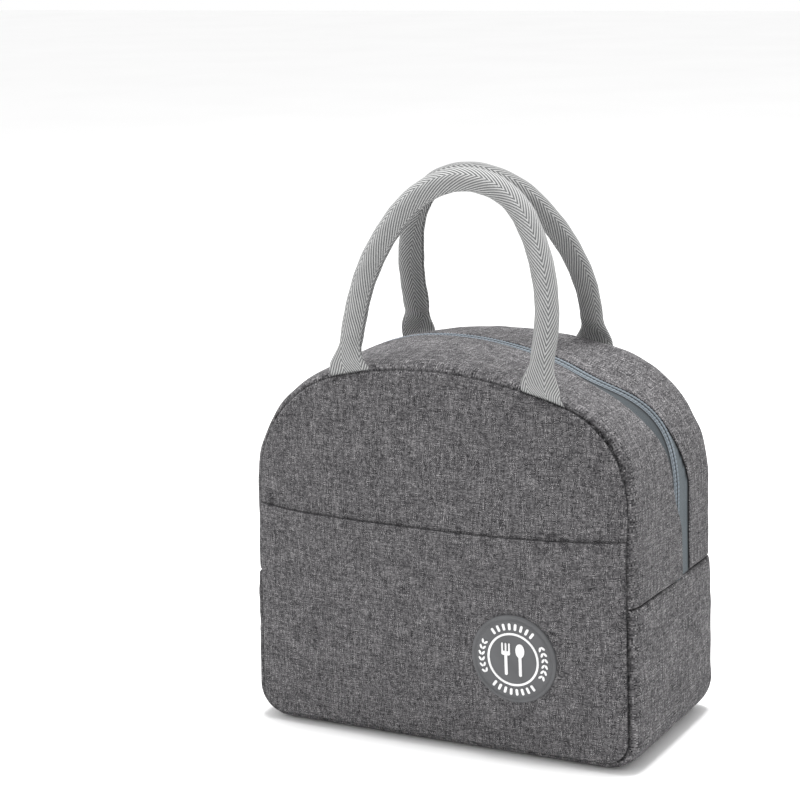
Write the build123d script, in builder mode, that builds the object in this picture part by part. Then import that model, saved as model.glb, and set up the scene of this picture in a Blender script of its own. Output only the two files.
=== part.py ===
from build123d import *
import os
from math import acos, asin, cos, degrees, radians, sin, sqrt

# Soft insulated lunch bag with two carry handles and a zip over the top.
# Millimetres. +Z is up, the front faces -Y, and the origin is the centre of the base, on the floor.

# ---- driving dimensions: the seam outline, seen from the front ----
half_width = 112.5  # to the side seams
depth = 120.0  # between the front and back seams
seam_top = 213.0  # top of the arch, at the seam
seam_bottom = 5.0  # the base cloth hangs this far below the seams
corner_radius = 68.0  # top corners
top_radius = 250.0  # crown of the top edge
base_radius = 14.0  # bottom corners
gusset_rise = 5.0  # how far the gusset stands out beyond the seams
gusset_edge = 12.0  # width of the rounding from the seam to that height
fold_height = 88.0  # the zip ends here, and the upper halves fold open from here
pocket_top = 130.0

# ---- cloth, foam and lining ----
cloth = 1.0
foam = 4.0
foil = 0.3
gap = 0.3  # between layers
body_gap = 0.6  # between the lower bag and the halves that fold open
pocket_room = 5.2  # inside the front pocket
binding_width = 3.0

# ---- zip ----
tape_thickness = 0.6
tape_outer_edge = 18.0  # from the zip's centre line, under the gusset cloth
cloth_edge = 9.0  # the gusset cloth stops this far from the centre line
coil_outer = 2.7
coil_inner = 0.2
coil_thickness = 2.0
coil_start = 93.0  # lowest height of the teeth
foam_zip_edge = 7.0
slider_bottom = 90.0
slider_length = 11.0
slider_half_width = 4.2
slider_plate = 1.6
slider_flange = 0.9
slider_clearance = 0.5
pull_length = 26.0
pull_width = 7.0
pull_thickness = 1.2

# ---- handles ----
foot_x = 58.0
foot_width = 25.0
foot_thickness = 3.0
foot_height = 14.0
hinge_height = seam_top - 3.0
handle_leg = 26.5
handle_side_radius = 106.0
handle_top_radius = 46.0
handle_radius_x = 6.8
handle_radius_y = 6.3
core_radius = 4.3
front_lean = 14.0  # degrees, towards the middle of the bag
back_lean = 22.0
front_shift = 6.0  # the handles are sewn on a little off centre
back_shift = -14.0

# ---- badge ----
badge_x = 49.5
badge_z = 59.5
badge_radius = 25.0
badge_thickness = 2.0
badge_lip = 0.6
ring_outer = 15.2
ring_inner = 13.9
mark_circle = 18.7  # radius of the circle that the dashes and leaves stand on
emblem_height = 0.6

# ---- worked out from the above ----
half_depth = depth / 2
corner_x = half_width - corner_radius
corner_turn = degrees(asin(corner_x / (top_radius - corner_radius)))
corner_z = seam_top - top_radius + (top_radius - corner_radius) * cos(radians(corner_turn))
corner_sweep = 90 - corner_turn
base_corner_x = half_width - base_radius
base_corner_z = seam_bottom + base_radius
edge_radius = (gusset_edge**2 + gusset_rise**2) / (2 * gusset_rise)
shoulder = half_depth - gusset_edge  # the gusset is flat from here to the middle
mid_edge = half_depth - gusset_edge / 2
mid_rise = gusset_rise - edge_radius + sqrt(edge_radius**2 - (gusset_edge / 2) ** 2)
panel_face = half_depth + gap + cloth  # outer face of the front and back cloth
board_face = half_depth - gap
board_inset = cloth + 2 * gap + binding_width  # the boards stop inside the bound seams
board_inner = board_face - foam
pocket_inner = panel_face + pocket_room
pocket_face = pocket_inner + cloth
foot_y = panel_face + gap + foot_thickness / 2
tape_top = gusset_rise - cloth - 0.2
coil_top = gusset_rise - 0.4
foam_top = tape_top - tape_thickness - 0.5
lining_top = foam_top - foam - gap
foam_seam_edge = board_inner - 2 * gap - foil - 0.8

os.makedirs("parts", exist_ok=True)


def save(builder, name):
    """Labels a finished piece and writes its STEP file."""
    builder.part.label = name
    export_step(builder.part, f"parts/{name}.step")


# ---------------------------------------------------------------- outlines and sections
def bag_outline(inset):
    """Closed outline of the bag, seen from the front, this far inside the seam."""
    side = half_width - inset
    floor = seam_bottom + inset
    CenterArc((corner_x, corner_z), corner_radius - inset, 0, corner_sweep)
    CenterArc((0, seam_top - top_radius), top_radius - inset, corner_sweep, 2 * corner_turn)
    CenterArc((-corner_x, corner_z), corner_radius - inset, 180 - corner_sweep, corner_sweep)
    Line((-side, corner_z), (-side, base_corner_z))
    CenterArc((-base_corner_x, base_corner_z), base_radius - inset, 180, 90)
    Line((-base_corner_x, floor), (base_corner_x, floor))
    CenterArc((base_corner_x, base_corner_z), base_radius - inset, 270, 90)
    Line((side, base_corner_z), (side, corner_z))


def upper_rail(start):
    """The seam line from the left side, over the top, to the right side."""
    Line((-half_width, start), (-half_width, corner_z))
    CenterArc((-corner_x, corner_z), corner_radius, 180, -corner_sweep)
    CenterArc((0, seam_top - top_radius), top_radius, 180 - corner_sweep, -2 * corner_turn)
    CenterArc((corner_x, corner_z), corner_radius, corner_sweep, -corner_sweep)
    Line((half_width, corner_z), (half_width, start))


def lower_rail(start):
    """The seam line from the left side, under the base, to the right side."""
    Line((-half_width, start), (-half_width, base_corner_z))
    CenterArc((-base_corner_x, base_corner_z), base_radius, 180, 90)
    Line((-base_corner_x, seam_bottom), (base_corner_x, seam_bottom))
    CenterArc((base_corner_x, base_corner_z), base_radius, 270, 90)
    Line((half_width, base_corner_z), (half_width, start))


def gusset_section(height):
    """Plane across the left side: x is along the bag's depth, y is outwards."""
    return Plane(origin=(-half_width, 0, height), x_dir=(0, 1, 0), z_dir=(0, 0, 1))


def strip_points(low, high, top, thickness):
    """Corners of a flat strip's section, from low to high across the depth."""
    return [(low, top), (high, top), (high, top - thickness), (low, top - thickness)]


# ---------------------------------------------------------------- flat panels
def panel(name, inset, y_low, y_high, low=None, high=None):
    """A flat piece of the bag's outline between two depths, cut to a range of heights."""
    with BuildPart() as piece:
        with BuildSketch(Plane.XZ.offset(-y_high)):
            with BuildLine():
                bag_outline(inset)
            make_face()
        extrude(amount=y_high - y_low)
        if low is not None:
            split(bisect_by=Plane.XY.offset(low), keep=Keep.TOP)
        if high is not None:
            split(bisect_by=Plane.XY.offset(high), keep=Keep.BOTTOM)
    save(piece, name)


def seam_binding(name, y_low, y_high):
    """Tape bound round the raw edges of the front or back seam, inside the bag."""
    with BuildPart() as piece:
        with BuildSketch(Plane.XZ.offset(-y_high)):
            with BuildLine():
                bag_outline(cloth + gap)
            make_face()
            with BuildLine():
                bag_outline(cloth + gap + binding_width)
            make_face(mode=Mode.SUBTRACT)
        extrude(amount=y_high - y_low)
    save(piece, name)


for side, word in ((-1, "front"), (1, "back")):
    faces = sorted((side * (half_depth + gap), side * panel_face))
    panel(f"{word}_panel", 0, *faces)
    faces = sorted((side * board_face, side * board_inner))
    panel(f"{word}_foam_lower", board_inset, *faces, high=fold_height)
    panel(f"{word}_foam_upper", board_inset, *faces, low=fold_height + body_gap)
    faces = sorted((side * (board_inner - gap), side * (board_inner - gap - foil)))
    panel(f"{word}_lining", board_inset, *faces)
    faces = sorted((side * board_face, side * (board_face - binding_width)))
    seam_binding(f"{word}_seam_binding", *faces)


# ---------------------------------------------------------------- gusset and zip, above the fold
def upper_strip(name, low, high, top, thickness, start=fold_height + body_gap):
    """A flat strip that runs over the top of the bag."""
    with BuildPart() as piece:
        with BuildLine(Plane.XZ) as rail:
            upper_rail(start)
        with BuildSketch(gusset_section(start)):
            with BuildLine():
                Polyline(strip_points(low, high, top, thickness), close=True)
            make_face()
        sweep(path=rail.line)
    save(piece, name)


def upper_cloth(name, side):
    """One half of the gusset cloth over the top, from the seam to the zip."""
    start = fold_height + body_gap
    with BuildPart() as piece:
        with BuildLine(Plane.XZ) as rail:
            upper_rail(start)
        with BuildSketch(gusset_section(start)):
            with BuildLine():
                ThreePointArc((side * half_depth, 0), (side * mid_edge, mid_rise), (side * shoulder, gusset_rise))
                Line((side * shoulder, gusset_rise), (side * cloth_edge, gusset_rise))
                Line((side * cloth_edge, gusset_rise), (side * cloth_edge, gusset_rise - cloth))
                Line((side * cloth_edge, gusset_rise - cloth), (side * shoulder, gusset_rise - cloth))
                ThreePointArc(
                    (side * shoulder, gusset_rise - cloth),
                    (side * mid_edge, mid_rise - cloth),
                    (side * half_depth, -cloth),
                )
                Line((side * half_depth, -cloth), (side * half_depth, 0))
            make_face()
        sweep(path=rail.line)
    save(piece, name)


for side, word in ((-1, "front"), (1, "back")):
    upper_cloth(f"zip_gusset_{word}", side)
    edges = sorted((side * tape_outer_edge, side * (coil_outer + 0.1)))
    upper_strip(f"zipper_tape_{word}", *edges, tape_top, tape_thickness)
    edges = sorted((side * coil_outer, side * coil_inner))
    upper_strip(f"zipper_coil_{word}", *edges, coil_top, coil_thickness, start=coil_start)
    edges = sorted((side * foam_seam_edge, side * foam_zip_edge))
    upper_strip(f"zip_gusset_foam_{word}", *edges, foam_top, foam)
    upper_strip(f"zip_gusset_lining_{word}", *edges, lining_top, foil)


# ---------------------------------------------------------------- gusset below the fold
def lower_strip(name, reach, top, thickness):
    """A flat strip down one side, under the base and up the other side."""
    with BuildPart() as piece:
        with BuildLine(Plane.XZ) as rail:
            lower_rail(fold_height)
        with BuildSketch(gusset_section(fold_height)):
            with BuildLine():
                Polyline(strip_points(-reach, reach, top, thickness), close=True)
            make_face()
        sweep(path=rail.line)
    save(piece, name)


def base_gusset():
    """The cloth of both sides and the base, in one strip, with rounded edges at the seams."""
    with BuildPart() as piece:
        with BuildLine(Plane.XZ) as rail:
            lower_rail(fold_height)
        with BuildSketch(gusset_section(fold_height)):
            with BuildLine():
                ThreePointArc((-half_depth, 0), (-mid_edge, mid_rise), (-shoulder, gusset_rise))
                Line((-shoulder, gusset_rise), (shoulder, gusset_rise))
                ThreePointArc((shoulder, gusset_rise), (mid_edge, mid_rise), (half_depth, 0))
                Line((half_depth, 0), (half_depth, -cloth))
                ThreePointArc(
                    (half_depth, -cloth), (mid_edge, mid_rise - cloth), (shoulder, gusset_rise - cloth)
                )
                Line((shoulder, gusset_rise - cloth), (-shoulder, gusset_rise - cloth))
                ThreePointArc(
                    (-shoulder, gusset_rise - cloth), (-mid_edge, mid_rise - cloth), (-half_depth, -cloth)
                )
                Line((-half_depth, -cloth), (-half_depth, 0))
            make_face()
        sweep(path=rail.line)
    save(piece, "base_gusset")


base_gusset()
lower_strip("base_gusset_foam", foam_seam_edge, foam_top, foam)
lower_strip("base_gusset_lining", foam_seam_edge, lining_top, foil)


# ---------------------------------------------------------------- front pocket
def front_pocket():
    """A shallow pouch on the front, open at the top."""
    back = panel_face + gap
    with BuildPart() as piece:
        with BuildSketch(Plane.XZ.offset(back)):
            with BuildLine():
                bag_outline(0)
            make_face()
        extrude(amount=pocket_face - back)
        with BuildSketch(Plane.XZ.offset(back)):
            with BuildLine():
                bag_outline(cloth)
            make_face()
        extrude(amount=pocket_inner - back, mode=Mode.SUBTRACT)
        split(bisect_by=Plane.XY.offset(pocket_top), keep=Keep.BOTTOM)
    save(piece, "front_pocket")


front_pocket()


# ---------------------------------------------------------------- badge
def badge():
    """A round soft disc with a raised lip, sewn to the pocket."""
    with BuildPart() as disc:
        with BuildSketch(Plane.XZ.offset(pocket_face)):
            with Locations((badge_x, badge_z)):
                Circle(badge_radius)
        extrude(amount=badge_thickness)
        fillet(disc.edges().group_by(Axis.Y)[0], 0.6)
        with BuildSketch(Plane.XZ.offset(pocket_face + badge_thickness)):
            with Locations((badge_x, badge_z)):
                Circle(badge_radius - 2.0)
                Circle(badge_radius - 3.0, mode=Mode.SUBTRACT)
        extrude(amount=badge_lip)
    save(disc, "badge_disc")


def emblem():
    """A ring round a plain fork and spoon, with dashes above and below it and leaves beside it."""
    with BuildPart() as mark:
        with BuildSketch(Plane.XZ.offset(pocket_face + badge_thickness)):
            with Locations((badge_x, badge_z)):
                Circle(ring_outer)
                Circle(ring_inner, mode=Mode.SUBTRACT)
            with Locations((badge_x - 4.2, badge_z - 3)):
                RectangleRounded(1.7, 12, 0.8)
            with Locations((badge_x - 4.2, badge_z + 3.6)):
                RectangleRounded(5.2, 2.2, 0.8)
            with Locations((badge_x - 4.2, badge_z + 6.4)):
                with GridLocations(1.95, 0, 3, 1):
                    RectangleRounded(0.95, 5.2, 0.4)
            with Locations((badge_x + 4.2, badge_z - 3)):
                RectangleRounded(1.7, 12, 0.8)
            with Locations((badge_x + 4.2, badge_z + 5.4)):
                Ellipse(2.5, 3.8)
            with Locations((badge_x, badge_z)):
                with PolarLocations(mark_circle, 8, start_angle=53, angular_range=74, endpoint=True):
                    RectangleRounded(3.8, 1.5, 0.6)
                with PolarLocations(mark_circle, 8, start_angle=233, angular_range=74, endpoint=True):
                    RectangleRounded(3.8, 1.5, 0.6)
                with PolarLocations(mark_circle, 5, start_angle=-24, angular_range=48, endpoint=True):
                    Ellipse(1.7, 1.1)
                with PolarLocations(mark_circle, 5, start_angle=156, angular_range=48, endpoint=True):
                    Ellipse(1.7, 1.1)
        extrude(amount=emblem_height)
    save(mark, "badge_emblem")


badge()
emblem()


# ---------------------------------------------------------------- handles
def arch_height(x):
    """Height of the seam line at a distance x from the middle."""
    if abs(x) < top_radius * sin(radians(corner_turn)):
        return seam_top - top_radius + sqrt(top_radius**2 - x**2)
    return corner_z + sqrt(corner_radius**2 - (abs(x) - corner_x) ** 2)


def handle_rail(start):
    """Centre line of a handle in its own plane, from one foot up and over to the other."""
    turn = degrees(acos((handle_side_radius - foot_x) / (handle_side_radius - handle_top_radius)))
    side_centre = handle_side_radius - foot_x
    top_centre = handle_leg + (handle_side_radius - handle_top_radius) * sin(radians(turn))
    Line((-foot_x, start), (-foot_x, handle_leg))
    CenterArc((side_centre, handle_leg), handle_side_radius, 180, -turn)
    CenterArc((0, top_centre), handle_top_radius, 180 - turn, 2 * turn - 180)
    CenterArc((-side_centre, handle_leg), handle_side_radius, turn, -turn)
    Line((foot_x, handle_leg), (foot_x, start))


def handle_section(plane, start):
    """Plane across the left leg of a handle."""
    foot = plane.from_local_coords(Vector(-foot_x, start, 0))
    return Plane(origin=foot, x_dir=plane.x_dir, z_dir=plane.y_dir)


def foot_outline(side, shift):
    """A foot's flat outline: its lower edge follows the seam, just clear of the cloth."""
    inner = foot_x - foot_width / 2
    outer = foot_x + foot_width / 2
    edge = [(side * x, arch_height(side * x + shift) + 0.8 - hinge_height) for x in (inner, foot_x, outer)]
    Polyline(edge + [(side * outer, foot_height), (side * inner, foot_height)], close=True)


def handle(word, side, lean, shift):
    """Webbing folded over a core, with two flat feet, and the core cord inside it."""
    tilt = radians(-side * lean)
    plane = Plane(
        origin=(shift, side * foot_y, hinge_height), x_dir=(1, 0, 0), z_dir=(0, -cos(tilt), sin(tilt))
    )
    tube_start = foot_height - 4
    core_start = foot_height + 1
    with BuildPart() as webbing:
        with BuildSketch(plane):
            for end in (-1, 1):
                with BuildLine():
                    foot_outline(end, shift)
                make_face()
        extrude(amount=foot_thickness / 2, both=True)
        with BuildLine(plane) as rail:
            handle_rail(tube_start)
        with BuildSketch(handle_section(plane, tube_start)):
            Ellipse(handle_radius_x, handle_radius_y)
        sweep(path=rail.line)
        with BuildLine(plane) as core_rail:
            handle_rail(core_start - gap)
        with BuildSketch(handle_section(plane, core_start - gap)):
            Circle(core_radius + gap)
        sweep(path=core_rail.line, mode=Mode.SUBTRACT)
    save(webbing, f"{word}_handle_webbing")
    with BuildPart() as core:
        with BuildLine(plane) as rail:
            handle_rail(core_start)
        with BuildSketch(handle_section(plane, core_start)):
            Circle(core_radius)
        sweep(path=rail.line)
    save(core, f"{word}_handle_core")


handle("front", -1, front_lean, front_shift)
handle("back", 1, back_lean, back_shift)


# ---------------------------------------------------------------- slider and pull, on the left side
plate_bottom = coil_top + slider_clearance
plate_top = plate_bottom + slider_plate
under_top = coil_top - coil_thickness - slider_clearance
under_bottom = under_top - slider_plate
crossbar_radius = pull_thickness / 2
bail_height = 2.5
bail_wall = 0.8
bail_low = slider_bottom + 2.5
bail_high = slider_bottom + 9.5
bail_leg = 1.5
pull_pivot_out = plate_top + 0.85
pull_pivot_height = bail_low + bail_leg + 0.8
window_half = 1.6
window_length = 6.0


def outward(distance):
    """World x of a point this far outside the left seam line."""
    return -half_width - distance


def slider():
    """Two plates joined by a neck, with flanges that leave a slot for the tape, and a bail on top."""
    with BuildPart() as piece:
        with BuildSketch(gusset_section(slider_bottom)):
            with Locations((0, (plate_bottom + plate_top) / 2), (0, (under_bottom + under_top) / 2)):
                Rectangle(2 * slider_half_width, slider_plate)
            flange_y = slider_half_width - 0.45
            with Locations((flange_y, plate_bottom - 0.3), (-flange_y, plate_bottom - 0.3)):
                Rectangle(slider_flange, 0.6)
            with Locations((flange_y, under_top + 0.25), (-flange_y, under_top + 0.25)):
                Rectangle(slider_flange, 0.5)
        extrude(amount=slider_length)
        with BuildSketch(gusset_section(slider_bottom)):
            with Locations((0, (plate_bottom + under_top) / 2)):
                Rectangle(2.0, plate_bottom - under_top + 0.4)
        extrude(amount=2.2)
        with BuildSketch(Plane.XZ):
            with Locations((outward(plate_top + bail_height / 2), (bail_low + bail_high) / 2)):
                Rectangle(bail_height + 0.2, bail_high - bail_low)
            with Locations((outward(plate_top + 0.85), (bail_low + bail_high) / 2)):
                Rectangle(bail_height - bail_wall, bail_high - bail_low - 2 * bail_leg, mode=Mode.SUBTRACT)
        extrude(amount=0.9, both=True)
    save(piece, "zipper_slider")


def pull():
    """A flat tab with a window at its top, whose crossbar hangs in the slider's bail."""
    arm_width = pull_width / 2 - window_half
    arm_y = window_half + arm_width / 2
    window_low = pull_pivot_height - window_length
    with BuildPart() as piece:
        with BuildSketch(Plane.YZ.offset(outward(pull_pivot_out - crossbar_radius))):
            with Locations((0, pull_pivot_height - pull_length / 2 - window_length / 2)):
                Rectangle(pull_width, pull_length - window_length)
            with Locations(
                (arm_y, (pull_pivot_height + window_low) / 2), (-arm_y, (pull_pivot_height + window_low) / 2)
            ):
                Rectangle(arm_width, window_length)
        extrude(amount=-pull_thickness)
        with BuildSketch(Plane.XZ.offset(-pull_width / 2)):
            with Locations((outward(pull_pivot_out), pull_pivot_height)):
                Circle(crossbar_radius)
        extrude(amount=pull_width)
    save(piece, "zipper_pull")


slider()
pull()
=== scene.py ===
import math

import bmesh
import bpy
import numpy as np
from mathutils import Matrix, Vector


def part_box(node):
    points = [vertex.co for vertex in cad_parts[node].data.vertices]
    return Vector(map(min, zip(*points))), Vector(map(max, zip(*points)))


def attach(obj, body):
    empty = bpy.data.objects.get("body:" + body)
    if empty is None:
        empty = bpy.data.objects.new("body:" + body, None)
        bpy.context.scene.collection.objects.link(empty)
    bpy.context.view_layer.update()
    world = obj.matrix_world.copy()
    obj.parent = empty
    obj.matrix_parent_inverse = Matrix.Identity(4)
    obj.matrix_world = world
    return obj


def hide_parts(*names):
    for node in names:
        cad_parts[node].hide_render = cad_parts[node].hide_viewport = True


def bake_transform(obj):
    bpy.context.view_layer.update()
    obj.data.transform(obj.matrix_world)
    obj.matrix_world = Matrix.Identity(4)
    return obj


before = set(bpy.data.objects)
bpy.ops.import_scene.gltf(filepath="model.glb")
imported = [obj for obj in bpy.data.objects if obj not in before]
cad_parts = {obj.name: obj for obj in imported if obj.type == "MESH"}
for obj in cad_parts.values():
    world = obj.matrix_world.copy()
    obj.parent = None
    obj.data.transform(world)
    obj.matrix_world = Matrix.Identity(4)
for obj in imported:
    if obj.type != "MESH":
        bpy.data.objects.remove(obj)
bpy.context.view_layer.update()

# Lengths are in millimetres, and MM makes them metres where an object is made.
MM = 0.001
HALVES = (("front", -1), ("back", 1))  # each half of the bag, and its side in y
panel_low, panel_high = (np.array(v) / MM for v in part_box("front_panel"))
base_high = np.array(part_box("base_gusset")[1]) / MM
HALF_WIDTH = panel_high[0]
SEAM_TOP = panel_high[2]
SEAM_BOTTOM = panel_low[2]
FOLD = base_high[2]  # the zip ends here, and the halves fold open here
HALF_DEPTH = base_high[1]
TOP_SLOPE = 0.03  # drop of the top's front for each millimetre to the right
TOP_SINK, TOP_CROWN = 3.6, 4.2  # of the top's middle, on the right and on the left
SHOULDER_FILL = 4.0
BOTTOM_SPREAD, TOP_TAPER = 0.005, 0.011  # shares of the width
SIDE_SEAM_LIFT = 4.5  # the side seam on the right is sewn a little higher
CLOTH_THICKNESS = 0.9
GUSSET_RISE = 5.0  # how far the gusset stands out beyond the seams
CORNER_RADIUS = 68.0
TOP_RADIUS = 250.0
BASE_RADIUS = 14.0
POCKET_TOP = np.array(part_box("front_pocket")[1])[2] / MM

# ---- outline ----
CORNER_X = HALF_WIDTH - CORNER_RADIUS
CORNER_TURN = math.asin(CORNER_X / (TOP_RADIUS - CORNER_RADIUS))
CORNER_Z = SEAM_TOP - TOP_RADIUS + (TOP_RADIUS - CORNER_RADIUS) * math.cos(CORNER_TURN)
BASE_X = HALF_WIDTH - BASE_RADIUS
BASE_Z = SEAM_BOTTOM + BASE_RADIUS


class Rail:
    """A plane curve of straight runs and tangent arcs in x and z, read by its arc length."""

    def __init__(self, start, heading, moves):
        points, normals, lengths = [], [], []
        here, angle, total = np.array(start, float), heading, 0.0
        for kind, size, turn in moves:
            steps = 2 if kind == "line" else 49
            for t in np.linspace(0, 1, steps):
                if kind == "line":
                    p, a = here + size * t * np.array([math.cos(angle), math.sin(angle)]), angle
                    run = size * t
                else:
                    side = math.copysign(1, turn)
                    centre = here + size * side * np.array([-math.sin(angle), math.cos(angle)])
                    a = angle + turn * t
                    p = centre - size * side * np.array([-math.sin(a), math.cos(a)])
                    run = size * abs(turn) * t
                points.append(p)
                normals.append([-math.sin(a), math.cos(a)])
                lengths.append(total + run)
            here, angle, total = points[-1], a, total + run
        self.points, self.normals = np.array(points), np.array(normals)
        self.lengths, self.length = np.array(lengths), total

    def at(self, s):
        s = np.asarray(s, float)
        p = [np.interp(s, self.lengths, self.points[:, k]) for k in (0, 1)]
        n = [np.interp(s, self.lengths, self.normals[:, k]) for k in (0, 1)]
        size = np.hypot(*n)
        return p[0], p[1], n[0] / size, n[1] / size


SWEEP = math.pi / 2 - CORNER_TURN
# UPPER runs over the top to the right and LOWER under the base to the left, with normals out of the bag.
upper_side, lower_side = ("line", CORNER_Z - FOLD, 0), ("line", FOLD - BASE_Z, 0)
upper_corner, lower_corner = ("arc", CORNER_RADIUS, -SWEEP), ("arc", BASE_RADIUS, -math.pi / 2)
top_arc, base_line = ("arc", TOP_RADIUS, -2 * CORNER_TURN), ("line", 2 * BASE_X, 0)
UPPER = Rail((-HALF_WIDTH, FOLD), math.pi / 2, [upper_side, upper_corner, top_arc, upper_corner, upper_side])
LOWER = Rail((HALF_WIDTH, FOLD), -math.pi / 2, [lower_side, lower_corner, base_line, lower_corner, lower_side])


def smooth(x, low, high):
    """0 below low, 1 above high, smooth in between."""
    t = np.clip((np.asarray(x, float) - low) / (high - low), 0, 1)
    return t * t * (3 - 2 * t)


def bell(x, centre, width):
    """1 at the centre, falling off smoothly to both sides."""
    return np.exp(-(((x - centre) / width) ** 2))


def ripple(a, b, seed, size, amount):
    """Soft uneven waves over a plane, about `size` mm long: a sum of sines with fixed phases."""
    rng = np.random.default_rng(seed)
    total = np.zeros(np.broadcast(a, b).shape)
    for _ in range(9):
        angle, phase = rng.uniform(0, math.pi), rng.uniform(0, 2 * math.pi)
        wave = size * rng.uniform(0.6, 1.7)
        place = a * math.cos(angle) + b * math.sin(angle)
        total = total + np.sin(place * 2 * math.pi / wave + phase)
    return amount * total / 3


def seam_shade(d):
    """1 in the stitched groove of a seam, 0 beside it: painted shade, which darkens the cloth's material there.
    """
    return 1 - smooth(d, 0.12, 0.55)


def lip(d):
    """How far cloth stands from its seam line at a distance d from it: it turns down into the stitches."""
    return -1.2 + 2.0 * (1 - np.exp(-np.maximum(d, 0) / 0.55))


# ---- meshes ----
def slump(points):
    """How the filled bag and its handles stand: wider at the bottom, the front of the top sloping to the right,
    the middle of the top crowned on the left and sunk on the right, the right front shoulder full."""
    x, y, z = points[:, 0], points[:, 1], points[:, 2]
    front = np.clip(0.4 - y / 100, 0, 1)
    down = TOP_SLOPE * np.where(x > 0, x, 0.3 * x) * front * smooth(z, 110, SEAM_TOP)
    high = smooth(z, 150, 205) * (1 - smooth(z, 222, 226))
    down += high * (
        TOP_SINK * bell(x, 68, 32) * bell(y, -8, 30) - TOP_CROWN * bell(x, -48, 42) * bell(y, 5, 40)
    )
    full = SHOULDER_FILL * bell(x, 95, 33) * bell(z, 180, 38) * np.clip(-y / 55, 0, 1)
    full = full * (1 - smooth(z, 196, 214))
    wide = 1 + BOTTOM_SPREAD * (1 - smooth(z, 10, 60)) - TOP_TAPER * smooth(z, 40, 150)
    return np.stack([x * wide + full, y, z - down + full], -1)


def add_fabric(mesh, values):
    """Stores the cloth's own coordinates, which its material reads, at each point."""
    attribute = mesh.attributes.new("fabric", "FLOAT_VECTOR", "POINT")
    attribute.data.foreach_set("vector", np.asarray(values, np.float32).ravel())


def make_object(name, points, faces, fabric=None):
    """An object of the slumped bag, from points in millimetres."""
    mesh = bpy.data.meshes.new(name)
    mesh.from_pydata((slump(np.asarray(points, float)) * MM).tolist(), [], faces)
    if fabric is not None:
        add_fabric(mesh, fabric)
    mesh.polygons.foreach_set("use_smooth", [True] * len(mesh.polygons))
    mesh.update()
    obj = bpy.data.objects.new(name, mesh)
    bpy.context.scene.collection.objects.link(obj)
    return obj


def grid_faces(rows, columns, ring=False, flip=False):
    """Quads over a grid of rows x columns. ring joins the last column to the first."""
    faces = []
    last = columns if ring else columns - 1
    for i in range(rows - 1):
        for j in range(last):
            k = (j + 1) % columns
            quad = (i * columns + j, i * columns + k, (i + 1) * columns + k, (i + 1) * columns + j)
            faces.append(quad[::-1] if flip else quad)
    return faces


def face_outwards(obj):
    mesh = bmesh.new()
    mesh.from_mesh(obj.data)
    bmesh.ops.recalc_face_normals(mesh, faces=mesh.faces)
    mesh.to_mesh(obj.data)
    mesh.free()


def grid(name, points, fabric, ring=False, flip=False, caps=False):
    """An object from a grid of points. caps closes the two ends of a ring."""
    rows, columns = points.shape[:2]
    faces = grid_faces(rows, columns, ring, flip)
    if caps:
        first, last = list(range(columns)), list(range((rows - 1) * columns, rows * columns))
        faces += [first[::-1], last]
    flat = None if fabric is None else fabric.reshape(-1, 3)
    obj = make_object(name, points.reshape(-1, 3), faces, flat)
    if caps:
        face_outwards(obj)
    return obj


def tube(centre, radius, ring, up, flat=1.0):
    """Rings of points round a line of points. up is a direction across the line, and flat shrinks the tube
    along it."""
    tangent = np.gradient(centre, axis=0)
    tangent /= np.linalg.norm(tangent, axis=1, keepdims=True)
    first = up - (up * tangent).sum(1, keepdims=True) * tangent
    first /= np.linalg.norm(first, axis=1, keepdims=True)
    second = np.cross(tangent, first)
    around = (np.arange(ring) * 2 * math.pi / ring)[None, :, None]
    return centre[:, None] + radius * (
        flat * first[:, None] * np.cos(around) + second[:, None] * np.sin(around)
    )


def solidify(obj, thickness):
    """Gives a sheet its thickness, inwards."""
    modifier = obj.modifiers.new("thickness", "SOLIDIFY")
    modifier.thickness, modifier.offset = thickness * MM, -1
    modifier.use_even_offset = False


def move_points(obj, change):
    """Moves an object's points by a function of their places in millimetres."""
    places = change(np.array([v.co for v in obj.data.vertices]) / MM)
    obj.data.vertices.foreach_set("co", (places * MM).ravel())
    obj.data.update()


SEAM_STEPS = [0, 0.35, 0.75, 1.2, 1.8, 2.6, 3.6, 4.8]  # rows of points beside a seam
SEAM_BAND = 6


def spaced(length, step, ends=True):
    """Positions from 0 to length, closer together at the seams. Without ends, only the start is at a seam."""
    count = max(2, int(round((length - 2 * SEAM_BAND) / step)) + 1)
    middle = np.linspace(SEAM_BAND, length - SEAM_BAND, count)
    tail = [length - c for c in reversed(SEAM_STEPS)]
    return np.array(SEAM_STEPS + list(middle) + (tail if ends else []))


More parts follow.
